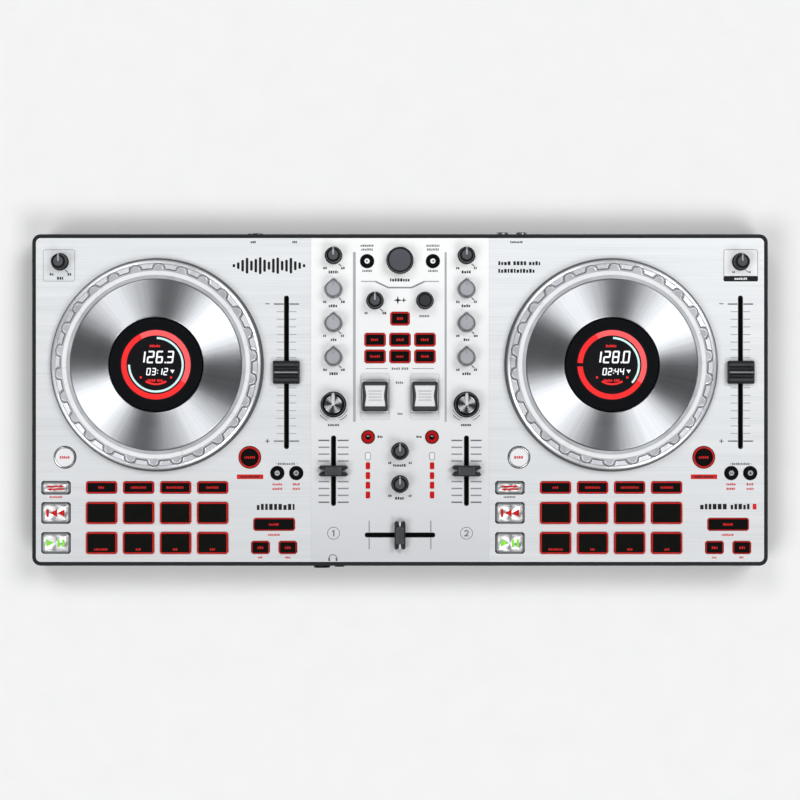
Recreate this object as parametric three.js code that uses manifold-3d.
// A two-deck DJ controller. A black tray and a silver faceplate hold two jog wheels around fixed
// round displays, three kinds of fader, seventeen knobs, two effect paddles and the keys.
// Units are millimetres. +X is the player's right, +Y the rear, +Z up, and the origin is on the
// table under the middle of the case. Controls are drawn from the face's top surface, z = 0 there.

import * as THREE from "three";
import { mergeVertices } from "three/addons/utils/BufferGeometryUtils.js";
import Module from "manifold-3d";

const wasm = await Module();
wasm.setup();

// ---------- Driving dimensions ----------

const CASE = { width: 537, depth: 242, corner: 6, wall: 3.5, rim: 2, floor: 2.5, chamfer: 5.5, taper: 4 };
const FOOT = { length: 430, depth: 12, height: 5.5, fromMiddle: 95 };
const RIM_TOP = 42;
const FACE = { top: 43, thickness: 3, gap: 0.3 };
const LEDGE_Z = 39.8;

const DECKS = [
  { side: "left", x: -177.2 },
  { side: "right", x: 154 },
];
const CHANNELS = [
  { number: 1, x: -48.5 },
  { number: 2, x: 48.5 },
];

const JOG = { y: 25.6, radius: 77, discRadius: 62.6, hub: 38, bore: 34.5, discTop: 12, ringTop: 11, sides: 52 };
const DISPLAY = { radius: 33.8, stem: 30, top: 11.4 };

const SHAFT = { radius: 3, depth: 9.1, hole: 3.8 };
const KNOB_LIFT = 0.6;
const KNOB = { radius: 6.4, height: 14 };
const EQ_KNOB = { radius: 6.6, height: 14, nose: 2.1 };
const FILTER_KNOB = { radius: 9.4, height: 13.4 };
const BROWSE_KNOB = { radius: 9.9, height: 12.4 };
const BROWSE_STEM = { radius: 3, top: 6, bore: 3.4, boreTop: 6.6, travel: 0.6 };

const CAP_LIFT = 0.8;
const CAP_TOP = 11;
const SLOT_WIDTH = 3.2;
const STEM = { thickness: 1.6, length: 6, depth: 7.1 };
const PITCH_FADER = { x: 94.4, y: 20.2, width: 19.8, length: 17, slot: 111.5 };
const CHANNEL_FADER = { y: -51.6, width: 20.5, length: 8, slot: 51 };
const CROSSFADER = { y: -98.5, width: 20.5, length: 8, slot: 51 };

const PADDLE = { x: 18.1, y: 2.6, width: 19, length: 21.8, top: 11.5, under: 5.5, stem: [12, 5], hole: [13.4, 9.4] };
const POCKET = { width: 21.8, length: 31.8, y: 2.4, depth: 0.8 };

const KEY = { clearance: 0.4, flange: 1, flangeThickness: 2, stopGap: 0.4, chamfer: 0.5, corner: 1 };
const WEB_THICKNESS = 1.6;
const PAD_COLUMNS = [-40.5, -13.5, 13.5, 40.5];
const PAD_ROWS = [-82.4, -104.3];
const LOOP = { x: 85.4, y: -90.7, halfX: 10, halfY: -107.6 };
const BEND = { x: 94.6, y: -53.3, halfX: 6.9, radius: 4.6 };
const EFFECT_COLUMNS = [-18.2, 0, 18.2];
const EFFECT_ROWS = [44, 31.8];

const BOARD = { width: 520, depth: 217, top: 28, thickness: 1.6 };
const POT_TOP = 33.6;
const FADER_BODY_TOP = 35.6;
const JACK_BOARD = { top: 13.2, thickness: 1.6 };
const JACK_Z = 19;
const JACK_OUT = 2.5;
const USB = { x: -76.5, width: 12, height: 11, length: 16, cavity: [8.6, 7.9, 9] };
const MIC_X = -106.5;
const RCA = { x: 82.5, halfPitch: 7, sleeve: 4.15, bore: 1.6 };
const PHONES = { largeX: -57.5, smallX: -44.5 };
const BORE_635 = 3.35;
const BORE_35 = 1.8;

const SCREW_BOSS = { radius: 3, bottom: 8.3, hole: 1.8, recess: 3.4, recessDepth: 1.5 };
const BOSS_PLACES = [
  ...DECKS.flatMap((deck) => [
    [deck.x - 57.3, -112],
    [deck.x + 58, -112],
  ]),
  [-234.5, 112],
  [-135, 112],
  [118, 112],
  [234.5, 112],
];

// ---------- Materials ----------

const finish = (color, roughness, metalness = 0) => new THREE.MeshStandardMaterial({ color, roughness, metalness });
const blackPlastic = finish(0x0c0d0f, 0.55);
const silverFace = finish(0xdfe3e6, 0.4, 0.35);
const spunMetal = finish(0xc9ccd0, 0.25, 0.9);
const displayGlass = finish(0x101218, 0.12);
const darkKnob = finish(0x2b2d31, 0.5);
const greyKnob = finish(0xb4b6bb, 0.5);
const darkCap = finish(0x3c3f44, 0.45);
const whiteKey = finish(0xe6e8ea, 0.35);
const chromeKey = finish(0xbfc2c6, 0.3, 0.6);
const blackKey = finish(0x14110f, 0.6);
const padRubber = finish(0x161513, 0.75);
const redKey = finish(0x7c0c0f, 0.5);
const circuitGreen = finish(0x1f4a34, 0.6);
const plugMetal = finish(0xa9abad, 0.35, 0.9);
const footRubber = finish(0x151515, 0.9);

// ---------- Outlines and solids ----------

// A circle's points, anticlockwise from the rear, where a nose can stand out.
function circle(radius, sides = 16, nose = 0) {
  return Array.from({ length: sides }, (_, i) => {
    const angle = Math.PI / 2 + (i / sides) * 2 * Math.PI;
    const reach = i === 0 ? radius + nose : radius;
    return new THREE.Vector2(reach * Math.cos(angle), reach * Math.sin(angle));
  });
}

// A rectangle with rounded corners, anticlockwise, each corner in so many steps.
function roundedRect(width, depth, radius, steps = 1) {
  const corners = [
    [1, 1],
    [-1, 1],
    [-1, -1],
    [1, -1],
  ];
  return corners.flatMap(([sx, sy], quarter) =>
    Array.from({ length: steps + 1 }, (_, k) => {
      const angle = ((quarter + k / steps) * Math.PI) / 2;
      return new THREE.Vector2(
        sx * (width / 2 - radius) + radius * Math.cos(angle),
        sy * (depth / 2 - radius) + radius * Math.sin(angle),
      );
    }),
  );
}

// Key shapes, as functions of how far the outline is grown.
const rect = (width, depth) => (grow) =>
  roundedRect(width + 2 * grow, depth + 2 * grow, Math.max(KEY.corner + grow, 0.3));
const round = (radius, sides = 16) => (grow) => circle(radius + grow, sides);

const moved = (points, x, y) => points.map((p) => new THREE.Vector2(p.x + x, p.y + y));

// A closed body through outlines of equal point counts, given from the lowest up as [points, z].
function stack(layers) {
  const position = [];
  const add = (point, z) => position.push(point.x, point.y, z);
  for (let k = 0; k + 1 < layers.length; k++) {
    const [low, lowZ] = layers[k];
    const [high, highZ] = layers[k + 1];
    low.forEach((point, i) => {
      const next = (i + 1) % low.length;
      add(point, lowZ);
      add(low[next], lowZ);
      add(high[next], highZ);
      add(point, lowZ);
      add(high[next], highZ);
      add(high[i], highZ);
    });
  }
  const [bottom, bottomZ] = layers[0];
  const [top, topZ] = layers[layers.length - 1];
  for (const [a, b, c] of THREE.ShapeUtils.triangulateShape(bottom, [])) {
    [c, b, a].forEach((i) => add(bottom[i], bottomZ));
  }
  for (const face of THREE.ShapeUtils.triangulateShape(top, [])) {
    face.forEach((i) => add(top[i], topZ));
  }
  return new THREE.BufferGeometry().setAttribute("position", new THREE.Float32BufferAttribute(position, 3));
}

const prism = (points, low, high) =>
  stack([
    [points, low],
    [points, high],
  ]);

// A body of revolution about Z from [radius, z] pairs.
function revolve(profile, sides) {
  const points = profile.map(([radius, z]) => new THREE.Vector2(radius, z));
  return new THREE.LatheGeometry(points, sides).rotateX(Math.PI / 2);
}

const block = (width, depth, height, x, y, low) =>
  new THREE.BoxGeometry(width, depth, height).translate(x, y, low + height / 2);

// A rod along Y between two depths.
const rodY = (radius, from, to, x, z, sides = 16) =>
  new THREE.CylinderGeometry(radius, radius, Math.abs(to - from), sides).translate(x, (from + to) / 2, z);

function solid(geometry) {
  const bare = geometry.clone();
  bare.deleteAttribute("normal");
  bare.deleteAttribute("uv");
  const merged = mergeVertices(bare, 1e-4);
  return new wasm.Manifold(
    new wasm.Mesh({
      numProp: 3,
      vertProperties: merged.attributes.position.array,
      triVerts: new Uint32Array(merged.index.array),
    }),
  );
}

function geometryOf(body) {
  const mesh = body.getMesh();
  return new THREE.BufferGeometry()
    .setAttribute("position", new THREE.BufferAttribute(mesh.vertProperties, 3))
    .setIndex(new THREE.BufferAttribute(mesh.triVerts, 1));
}

const joined = (geometries) => geometries.map(solid).reduce((all, next) => all.add(next));
const cut = (body, geometries) => geometries.map(solid).reduce((left, next) => left.subtract(next), body);

// ---------- The assembly ----------

const controller = new THREE.Group();
const face = new THREE.Group();
face.position.z = FACE.top;
controller.add(face);
const faceHoles = [];

function addPart(name, geometry, material, parent = controller, x = 0, y = 0) {
  const mesh = new THREE.Mesh(geometry, material);
  mesh.name = name;
  mesh.position.set(x, y, 0);
  parent.add(mesh);
}

// A control on the face, with the hole or holes that it works through.
function addControl(name, geometry, material, x, y, ...holes) {
  addPart(name, geometry, material, face, x, y);
  faceHoles.push(...holes.map((points) => moved(points, x, y)));
}

// ---------- Knobs ----------

function knob({ radius, height, nose = 0 }) {
  return stack([
    [circle(SHAFT.radius), -SHAFT.depth],
    [circle(SHAFT.radius), KNOB_LIFT],
    [circle(radius, 16, nose), KNOB_LIFT],
    [circle(radius * 0.9, 16, nose * 0.85), height - 1],
    [circle(radius * 0.8, 16), height],
  ]);
}

function addKnob(name, size, material, x, y) {
  addControl(name, knob(size), material, x, y, circle(SHAFT.hole, 12));
}

const potPlaces = [];
function addPotKnob(name, size, material, x, y) {
  addKnob(name, size, material, x, y);
  potPlaces.push([x, y]);
}

function addMixerKnobs() {
  for (const { number, x } of CHANNELS) {
    addPotKnob(`gain_knob_${number}`, KNOB, darkKnob, x, 105.4);
    addPotKnob(`high_knob_${number}`, EQ_KNOB, greyKnob, x, 80.7);
    addPotKnob(`mid_knob_${number}`, EQ_KNOB, greyKnob, x, 56);
    addPotKnob(`low_knob_${number}`, EQ_KNOB, greyKnob, x, 31.2);
    addPotKnob(`filter_knob_${number}`, FILTER_KNOB, darkKnob, x, -3.3);
  }
  addPotKnob("effect_level_knob", KNOB, darkKnob, -18.2, 72.5);
  addPotKnob("effect_beats_knob", KNOB, darkKnob, 18.2, 72.5);
  addPotKnob("cue_mix_knob", KNOB, darkKnob, 0, -37.3);
  addPotKnob("cue_level_knob", KNOB, darkKnob, 0, -61.3);
  addPotKnob("microphone_level_knob", KNOB, darkKnob, -248, 100.8);
  addPotKnob("main_level_knob", KNOB, darkKnob, 248.5, 100.8);
}

// The browse control turns on a stem that also presses down.
function addBrowseControl() {
  const y = 101.8;
  const { radius, height } = BROWSE_KNOB;
  const cap = stack([
    [circle(radius, 20), KNOB_LIFT + 0.6],
    [circle(radius * 0.93, 20), height - 0.8],
    [circle(radius * 0.85, 20), height],
  ]);
  const bore = prism(circle(BROWSE_STEM.bore, 12), 0, BROWSE_STEM.boreTop);
  addPart("browse_knob", geometryOf(cut(solid(cap), [bore])), darkKnob, face, 0, y);
  const stem = prism(circle(BROWSE_STEM.radius, 12), -SHAFT.depth + BROWSE_STEM.travel, BROWSE_STEM.top);
  addControl("browse_stem", stem, plugMetal, 0, y, circle(SHAFT.hole, 12));
  potPlaces.push([0, y]);
}

// ---------- Faders ----------

// A finger cap on a flat stem. The stem's long side lies along the travel.
function faderCap(width, length, alongX) {
  const outline = (across, along, corner) =>
    alongX ? roundedRect(along, across, corner) : roundedRect(across, along, corner);
  return stack([
    [outline(STEM.thickness, STEM.length, 0.2), -STEM.depth],
    [outline(STEM.thickness, STEM.length, 0.2), CAP_LIFT],
    [outline(width, length, 1), CAP_LIFT],
    [outline(width, length, 1), CAP_TOP - 5],
    [outline(width - 1.6, length * 0.7, 1), CAP_TOP],
  ]);
}

const faderPlaces = [];
function addFader(name, { width, length, slot }, x, y, alongX = false) {
  const slotOutline = alongX ? roundedRect(slot, SLOT_WIDTH, 1.5) : roundedRect(SLOT_WIDTH, slot, 1.5);
  addControl(name, faderCap(width, length, alongX), darkCap, x, y, slotOutline);
  faderPlaces.push({ x, y, slot, alongX });
}

function addFaders() {
  DECKS.forEach((deck) => addFader(`pitch_fader_${deck.side}`, PITCH_FADER, deck.x + PITCH_FADER.x, PITCH_FADER.y));
  CHANNELS.forEach(({ number, x }) => addFader(`channel_fader_${number}`, CHANNEL_FADER, x, CHANNEL_FADER.y));
  addFader("crossfader", CROSSFADER, 0, CROSSFADER.y, true);
}

// ---------- Paddles ----------

function addPaddles() {
  const [stemWidth, stemLength] = PADDLE.stem;
  const outline = (width, length) => roundedRect(width, length, 0.8);
  const shape = () =>
    stack([
      [outline(stemWidth, stemLength), -7],
      [outline(stemWidth, stemLength), PADDLE.under],
      [outline(PADDLE.width, PADDLE.length), PADDLE.under],
      [outline(PADDLE.width - 0.6, PADDLE.length - 0.6), PADDLE.top - 2],
      [outline(13.5, 16), PADDLE.top],
    ]);
  const hole = roundedRect(...PADDLE.hole, 0.8);
  addControl("effect_paddle_1", shape(), whiteKey, -PADDLE.x, PADDLE.y, hole);
  addControl("effect_paddle_2", shape(), whiteKey, PADDLE.x, PADDLE.y, hole);
}

// ---------- Keys ----------

const FLANGE_TOP = -FACE.thickness - KEY.stopGap;

// One key cap, whose flange stops against the underside of the face.
function key(shape, height) {
  const flangeBottom = FLANGE_TOP - KEY.flangeThickness;
  return stack([
    [shape(KEY.flange), flangeBottom],
    [shape(KEY.flange), FLANGE_TOP],
    [shape(0), FLANGE_TOP],
    [shape(0), height - KEY.chamfer],
    [shape(-KEY.chamfer), height],
  ]);
}

function addKey(name, shape, height, material, x, y) {
  addControl(name, key(shape, height), material, x, y, shape(KEY.clearance));
}

// Several keys moulded on one sheet under the face. Each key is [shape, x, y].
function addKeypad(name, keys, webs, height, material, x, y) {
  const webBottom = FLANGE_TOP - WEB_THICKNESS;
  const sheets = webs.map(([width, depth, webX, webY]) => block(width, depth, WEB_THICKNESS, webX, webY, webBottom));
  const caps = keys.map(([shape, keyX, keyY]) =>
    stack([
      [shape(0), webBottom + WEB_THICKNESS / 2],
      [shape(0), height - KEY.chamfer],
      [shape(-KEY.chamfer), height],
    ]).translate(keyX, keyY, 0),
  );
  const holes = keys.map(([shape, keyX, keyY]) => moved(shape(KEY.clearance), keyX, keyY));
  addControl(name, geometryOf(joined([...sheets, ...caps])), material, x, y, ...holes);
}

function addDeckKeys({ side, x }) {
  const transportX = x - 73.8;
  addKey(`sync_button_${side}`, rect(20.8, 9.2), 3, chromeKey, transportX, -64);
  addKey(`cue_button_${side}`, rect(20.8, 15), 3, chromeKey, transportX, PAD_ROWS[0]);
  addKey(`play_button_${side}`, rect(20.8, 15), 3, chromeKey, transportX, PAD_ROWS[1]);
  addKey(`shift_button_${side}`, round(7.7), 2.4, whiteKey, x - 67.2, -41.8);
  addKey(`scratch_button_${side}`, round(7.7), 2.4, blackKey, x + 67.6, -41.8);

  const modes = PAD_COLUMNS.map((column) => [rect(22.2, 8.6), column, 0]);
  addKeypad(`pad_mode_keys_${side}`, modes, [[105.2, 9.8, 0, 0]], 1.6, blackKey, x, -63.8);

  const middle = (PAD_ROWS[0] + PAD_ROWS[1]) / 2;
  const pads = PAD_ROWS.flatMap((row) => PAD_COLUMNS.map((column) => [rect(22.2, 15.4), column, row - middle]));
  addKeypad(`performance_pads_${side}`, pads, [[105.2, 39, 0, 0]], 2.6, padRubber, x, middle);

  const loopDrop = LOOP.halfY - LOOP.y;
  const loops = [
    [rect(29.8, 8.8), 0, 0],
    [rect(13, 9), -LOOP.halfX, loopDrop],
    [rect(13, 9), LOOP.halfX, loopDrop],
  ];
  addKeypad(`loop_keys_${side}`, loops, [[35, 28, 0, loopDrop / 2]], 1.6, blackKey, x + LOOP.x, LOOP.y);

  const bends = [-BEND.halfX, BEND.halfX].map((place) => [round(BEND.radius, 12), place, 0]);
  addKeypad(`pitch_bend_keys_${side}`, bends, [[24.6, 10.6, 0, 0]], 2, blackKey, x + BEND.x, BEND.y);
}

function addMixerKeys() {
  addKey("load_button_1", round(4.6, 12), 2, blackKey, -24, 101.3);
  addKey("load_button_2", round(4.6, 12), 2, blackKey, 24, 101.3);
  addKey("headphone_cue_button_1", round(4.5, 12), 2, redKey, -23.3, -27);
  addKey("headphone_cue_button_2", round(4.5, 12), 2, redKey, 23.3, -27);

  const rowsMiddle = (EFFECT_ROWS[0] + EFFECT_ROWS[1]) / 2;
  const tapY = 59.4 - rowsMiddle;
  const effects = EFFECT_ROWS.flatMap((row) => EFFECT_COLUMNS.map((column) => [rect(15, 9.4), column, row - rowsMiddle]));
  const webs = [
    [54, 23.6, 0, 0],
    [16, 16, 0, tapY - 2.4],
  ];
  addKeypad("effect_keys", [...effects, [rect(13.6, 9.4), 0, tapY]], webs, 1.6, blackKey, 0, rowsMiddle);
}

// ---------- Jog wheels and their displays ----------

// The wheel is one ring, disc and hub. Finger dimples lower every other point of its outer slope.
function jogWheel() {
  const slope = 73.2;
  const dimpleDepth = 1.6;
  const wheel = revolve(
    [
      [JOG.bore, -10],
      [JOG.hub, -10],
      [JOG.hub, 4.5],
      [72.5, 4.5],
      [72.5, 1.2],
      [JOG.radius, 1.2],
      [JOG.radius, 8.2],
      [slope, 10.6],
      [69.6, JOG.ringTop],
      [JOG.discRadius, JOG.ringTop],
      [JOG.discRadius, JOG.discTop],
      [JOG.bore, JOG.discTop],
      [JOG.bore, -10],
    ],
    JOG.sides,
  );
  const position = wheel.attributes.position;
  for (let i = 0; i < position.count; i++) {
    const onSlope = Math.abs(Math.hypot(position.getX(i), position.getY(i)) - slope) < 0.01;
    const step = Math.round((Math.atan2(position.getY(i), position.getX(i)) / (2 * Math.PI)) * JOG.sides);
    if (onSlope && step % 2 === 0) {
      position.setZ(i, position.getZ(i) - dimpleDepth);
    }
  }
  return wheel;
}

// A round screen on a pedestal that stands still inside the wheel's hub.
function jogDisplay() {
  return revolve(
    [
      [0, BOARD.top + 0.3 - FACE.top],
      [DISPLAY.stem, BOARD.top + 0.3 - FACE.top],
      [DISPLAY.stem, 6],
      [DISPLAY.radius, 6],
      [DISPLAY.radius, DISPLAY.top - 0.8],
      [DISPLAY.radius - 0.8, DISPLAY.top],
      [0, DISPLAY.top],
    ],
    32,
  );
}

function addJog({ side, x }) {
  addControl(`jog_wheel_${side}`, jogWheel(), spunMetal, x, JOG.y, circle(JOG.hub + 1, 32));
  addPart(`jog_display_${side}`, jogDisplay(), displayGlass, face, x, JOG.y);
}

// ---------- Boards and connectors ----------

function mainBoard() {
  const { width, depth, top, thickness } = BOARD;
  const inside = top - thickness / 2;
  const pots = potPlaces.map(([x, y]) => block(10, 10, POT_TOP - inside, x, y, inside));
  const faders = faderPlaces.map(({ x, y, slot, alongX }) => {
    const length = slot + 8;
    const size = alongX ? [length, 8] : [8, length];
    return block(...size, FADER_BODY_TOP - inside, x, y, inside);
  });
  return geometryOf(joined([block(width, depth, thickness, 0, 0, top - thickness), ...pots, ...faders]));
}

// The rear board carries the microphone jack and the pair of phono outputs.
function rearJackBoard() {
  const back = CASE.depth / 2;
  const inner = back - CASE.wall - 0.3;
  const boardDepth = 22;
  const sides = [-RCA.halfPitch, RCA.halfPitch];
  const body = joined([
    block(216, boardDepth, JACK_BOARD.thickness, -10, inner - boardDepth / 2, JACK_BOARD.top - JACK_BOARD.thickness),
    block(14, 24, 12.6, MIC_X, inner - 12, JACK_BOARD.top - 0.6),
    rodY(4.9, inner - 1, back + 0.3, MIC_X, JACK_Z),
    rodY(6, back + 0.3, back + 1.5, MIC_X, JACK_Z, 6),
    block(28, 14, 12.6, RCA.x, inner - 7, JACK_BOARD.top - 0.6),
    ...sides.map((dx) => rodY(RCA.sleeve, inner - 1, back + JACK_OUT, RCA.x + dx, JACK_Z)),
  ]);
  const bores = [
    rodY(BORE_635, inner - 22, back + 4, MIC_X, JACK_Z),
    ...sides.map((dx) => rodY(RCA.bore, back - 8, back + 4, RCA.x + dx, JACK_Z, 8)),
  ];
  return geometryOf(cut(body, bores));
}

function usbSocket() {
  const back = CASE.depth / 2;
  const [cavityWidth, cavityHeight, cavityDepth] = USB.cavity;
  const shell = block(USB.width, USB.length, USB.height, USB.x, back - USB.length / 2, JACK_Z - USB.height / 2);
  const mouth = block(
    cavityWidth,
    cavityDepth + 1,
    cavityHeight,
    USB.x,
    back - cavityDepth / 2 + 0.5,
    JACK_Z - cavityHeight / 2,
  );
  return geometryOf(cut(solid(shell), [mouth]));
}

// The front board carries a large and a small headphone jack.
function headphoneJackBoard() {
  const front = -CASE.depth / 2;
  const inner = front + CASE.wall + 0.3;
  const { largeX, smallX } = PHONES;
  const body = joined([
    block(34, 25, JACK_BOARD.thickness, -52.5, inner + 12.5, JACK_BOARD.top - JACK_BOARD.thickness),
    block(14, 24, 12.6, largeX, inner + 12, JACK_BOARD.top - 0.6),
    rodY(4.9, front - 0.3, inner + 1, largeX, JACK_Z),
    rodY(5.9, front - JACK_OUT, front - 0.3, largeX, JACK_Z),
    block(8, 15, 10.6, smallX, inner + 7.5, JACK_BOARD.top - 0.6),
    rodY(2.8, front - 0.3, inner + 1, smallX, JACK_Z),
    rodY(3.6, front - JACK_OUT + 0.7, front - 0.3, smallX, JACK_Z),
  ]);
  const bores = [
    rodY(BORE_635, front - 4, inner + 22, largeX, JACK_Z),
    rodY(BORE_35, front - 4, inner + 13, smallX, JACK_Z, 10),
  ];
  return geometryOf(cut(body, bores));
}

// ---------- Case ----------

function faceplate() {
  const sink = 2 * (CASE.rim + FACE.gap);
  const outline = roundedRect(CASE.width - sink, CASE.depth - sink, CASE.corner - CASE.rim, 4);
  const shape = new THREE.Shape(outline);
  shape.holes.push(...faceHoles.map((points) => new THREE.Path(points)));
  const options = { depth: FACE.thickness, bevelEnabled: false };
  const plate = new THREE.ExtrudeGeometry(shape, options).translate(0, 0, FACE.top - FACE.thickness);
  const bosses = BOSS_PLACES.map(([x, y]) =>
    prism(moved(circle(SCREW_BOSS.radius, 8), x, y), SCREW_BOSS.bottom, FACE.top - FACE.thickness / 2),
  );
  const pockets = [-PADDLE.x, PADDLE.x].map((x) => {
    const pocket = roundedRect(POCKET.width, POCKET.length, 2, 2);
    return prism(moved(pocket, x, POCKET.y), FACE.top - POCKET.depth, FACE.top + 1);
  });
  return geometryOf(cut(joined([plate, ...bosses]), pockets));
}

function bottomTray() {
  const { width, depth, corner, wall, rim, taper, chamfer } = CASE;
  const bottom = FOOT.height;
  const inset = (by) => roundedRect(width - 2 * by, depth - 2 * by, Math.max(corner - by, 1), 4);
  const shell = stack([
    [inset(taper), bottom],
    [inset(0), bottom + chamfer],
    [inset(0), RIM_TOP],
  ]);
  const cavity = stack([
    [inset(wall + 2), bottom + CASE.floor],
    [inset(wall), bottom + chamfer],
    [inset(wall), LEDGE_Z],
    [inset(rim), LEDGE_Z],
    [inset(rim), RIM_TOP + 1],
  ]);
  const back = depth / 2;
  const windows = [
    rodY(5.2, back - 6, back + 1, MIC_X, JACK_Z),
    block(USB.width + 0.8, 8, USB.height + 0.8, USB.x, back - 3, JACK_Z - USB.height / 2 - 0.4),
    ...[-RCA.halfPitch, RCA.halfPitch].map((dx) => rodY(5, back - 6, back + 1, RCA.x + dx, JACK_Z)),
    rodY(5.2, -back - 1, -back + 6, PHONES.largeX, JACK_Z),
    rodY(3.1, -back - 1, -back + 6, PHONES.smallX, JACK_Z, 12),
  ];
  const screwHoles = BOSS_PLACES.flatMap(([x, y]) => [
    prism(moved(circle(SCREW_BOSS.hole, 8), x, y), bottom - 1, bottom + CASE.floor + 1),
    prism(moved(circle(SCREW_BOSS.recess, 12), x, y), bottom - 1, bottom + SCREW_BOSS.recessDepth),
  ]);
  const hollow = cut(solid(shell), [cavity, ...windows, ...screwHoles]);

  // Posts carry the main board and the jack boards, with a hair of clearance under each.
  const post = (x, y, top) => solid(prism(moved(circle(4, 8), x, y), bottom + 1, top - 0.3));
  const boardBottom = BOARD.top - BOARD.thickness;
  const jackBottom = JACK_BOARD.top - JACK_BOARD.thickness;
  const posts = [
    ...[-200, 0, 200].flatMap((x) => [-60, 60].map((y) => post(x, y, boardBottom))),
    ...[-90, 0, 70].map((x) => post(x, 103, jackBottom)),
    post(-52, -98, jackBottom),
  ];
  return geometryOf(posts.reduce((tray, next) => tray.add(next), hollow));
}

function addFeet() {
  const foot = () => prism(roundedRect(FOOT.length, FOOT.depth, 3, 3), 0, FOOT.height);
  addPart("front_foot_strip", foot(), footRubber, controller, 0, -FOOT.fromMiddle);
  addPart("rear_foot_strip", foot(), footRubber, controller, 0, FOOT.fromMiddle);
}

// ---------- Build ----------

addMixerKnobs();
addBrowseControl();
addFaders();
addPaddles();
addMixerKeys();
DECKS.forEach(addDeckKeys);
DECKS.forEach(addJog);

addPart("faceplate", faceplate(), silverFace);
addPart("bottom_tray", bottomTray(), blackPlastic);
addPart("main_board", mainBoard(), circuitGreen);
addPart("rear_jack_board", rearJackBoard(), circuitGreen);
addPart("usb_socket", usbSocket(), plugMetal);
addPart("headphone_jack_board", headphoneJackBoard(), circuitGreen);
addFeet();

export default controller;
